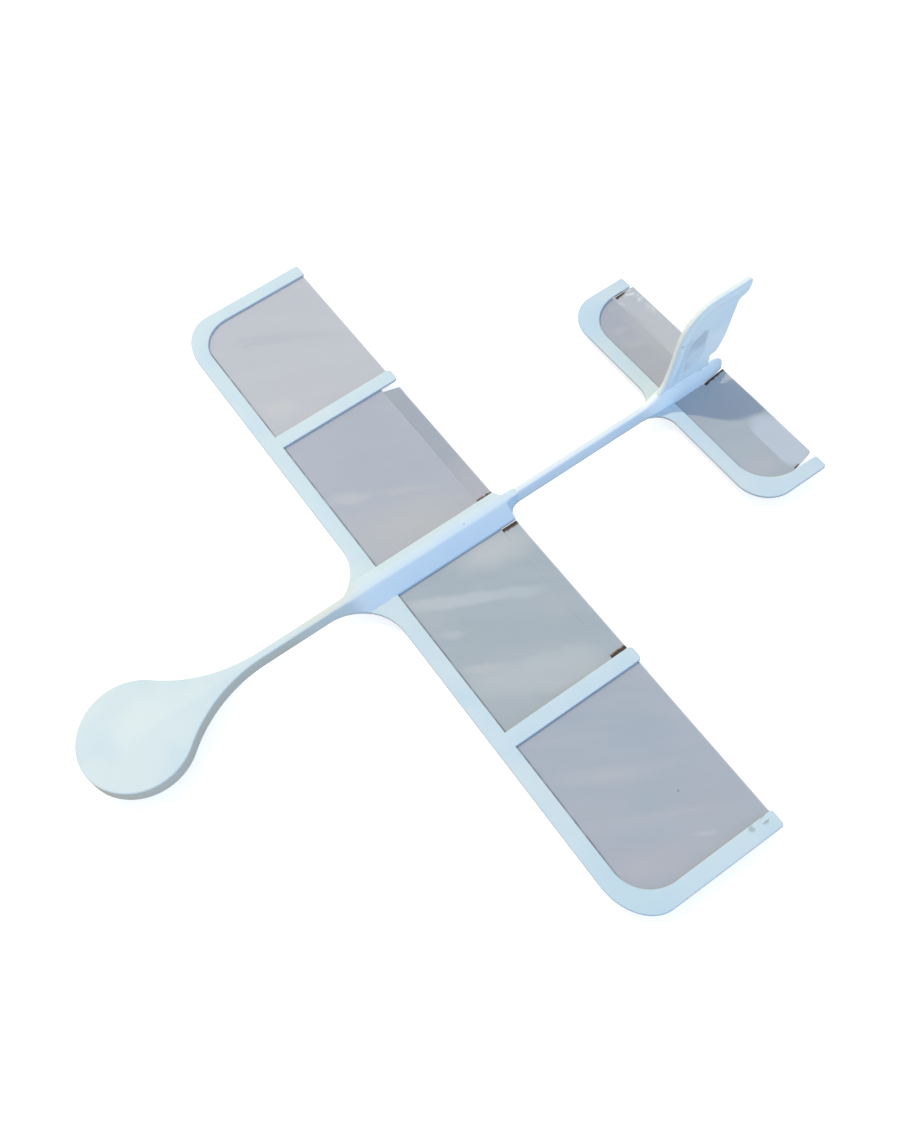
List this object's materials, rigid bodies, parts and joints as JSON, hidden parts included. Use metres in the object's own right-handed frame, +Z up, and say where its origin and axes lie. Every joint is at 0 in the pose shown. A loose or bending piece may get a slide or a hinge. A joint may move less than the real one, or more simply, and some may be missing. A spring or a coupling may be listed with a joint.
{
  "type": "hand-launched model glider",
  "caption": "Small hand-launched model glider: flat plastic frame with film-covered wings and tailplane, round nose ballast disc, slim spine, upright fin and bendable trim tabs.",
  "frame": {"origin": "underside of the body on the centre line, 20 mm behind the wing's leading edge, about a third of the way back along the wing", "axes": "+X to port, +Y aft towards the tail, +Z up from the surface that the glider lies on"},
  "size_m": [0.3, 0.2868, 0.0449],
  "materials": {
    "frame_plastic": "smooth pale ice-blue plastic, soft satin sheen",
    "clear_film": "thin hazy grey-lavender plastic film with soft streaks"
  },
  "bodies": {
    "airframe": {"nose_disc": "frame_plastic", "nose_boom": "frame_plastic", "fuselage": "frame_plastic", "tail_boom": "frame_plastic", "tail_fairing": "frame_plastic", "fin": "frame_plastic", "fin_film": "clear_film", "wing_leading_edge_port": "frame_plastic", "wing_leading_edge_starboard": "frame_plastic", "wing_tip_bow_port": "frame_plastic", "wing_tip_bow_starboard": "frame_plastic", "wing_rib_port": "frame_plastic", "wing_rib_starboard": "frame_plastic", "wing_film_inner_port": "clear_film", "wing_film_inner_starboard": "clear_film", "wing_film_outer_port": "clear_film", "wing_film_outer_starboard": "clear_film", "tail_leading_edge_port": "frame_plastic", "tail_leading_edge_starboard": "frame_plastic", "tail_tip_bow_port": "frame_plastic", "tail_tip_bow_starboard": "frame_plastic", "tail_film_port": "clear_film", "tail_film_starboard": "clear_film"},
    "wing_tab_left": {"wing_tab_port": "clear_film"},
    "wing_tab_right": {"wing_tab_starboard": "clear_film"},
    "tail_tab_left": {"tail_tab_port": "clear_film"},
    "tail_tab_right": {"tail_tab_starboard": "clear_film"}
  },
  "joints": [
    {"name": "wing_tab_port_fold", "type": "hinge", "parent": "airframe", "child": "wing_tab_left", "pos_m": [0.04005, 0.03145, 0.0001], "axis": [1, 0, 0], "range_deg": [-30, 30]},
    {"name": "wing_tab_starboard_fold", "type": "hinge", "parent": "airframe", "child": "wing_tab_right", "pos_m": [-0.04005, 0.03145, 0.0001], "axis": [1, 0, 0], "range_deg": [-30, 30]},
    {"name": "tail_tab_port_fold", "type": "hinge", "parent": "airframe", "child": "tail_tab_left", "pos_m": [0.02845, 0.13035, 0.0001], "axis": [1, 0, 0], "range_deg": [-30, 30]},
    {"name": "tail_tab_starboard_fold", "type": "hinge", "parent": "airframe", "child": "tail_tab_right", "pos_m": [-0.02845, 0.13035, 0.0001], "axis": [1, 0, 0], "range_deg": [-30, 30]}
  ]
}
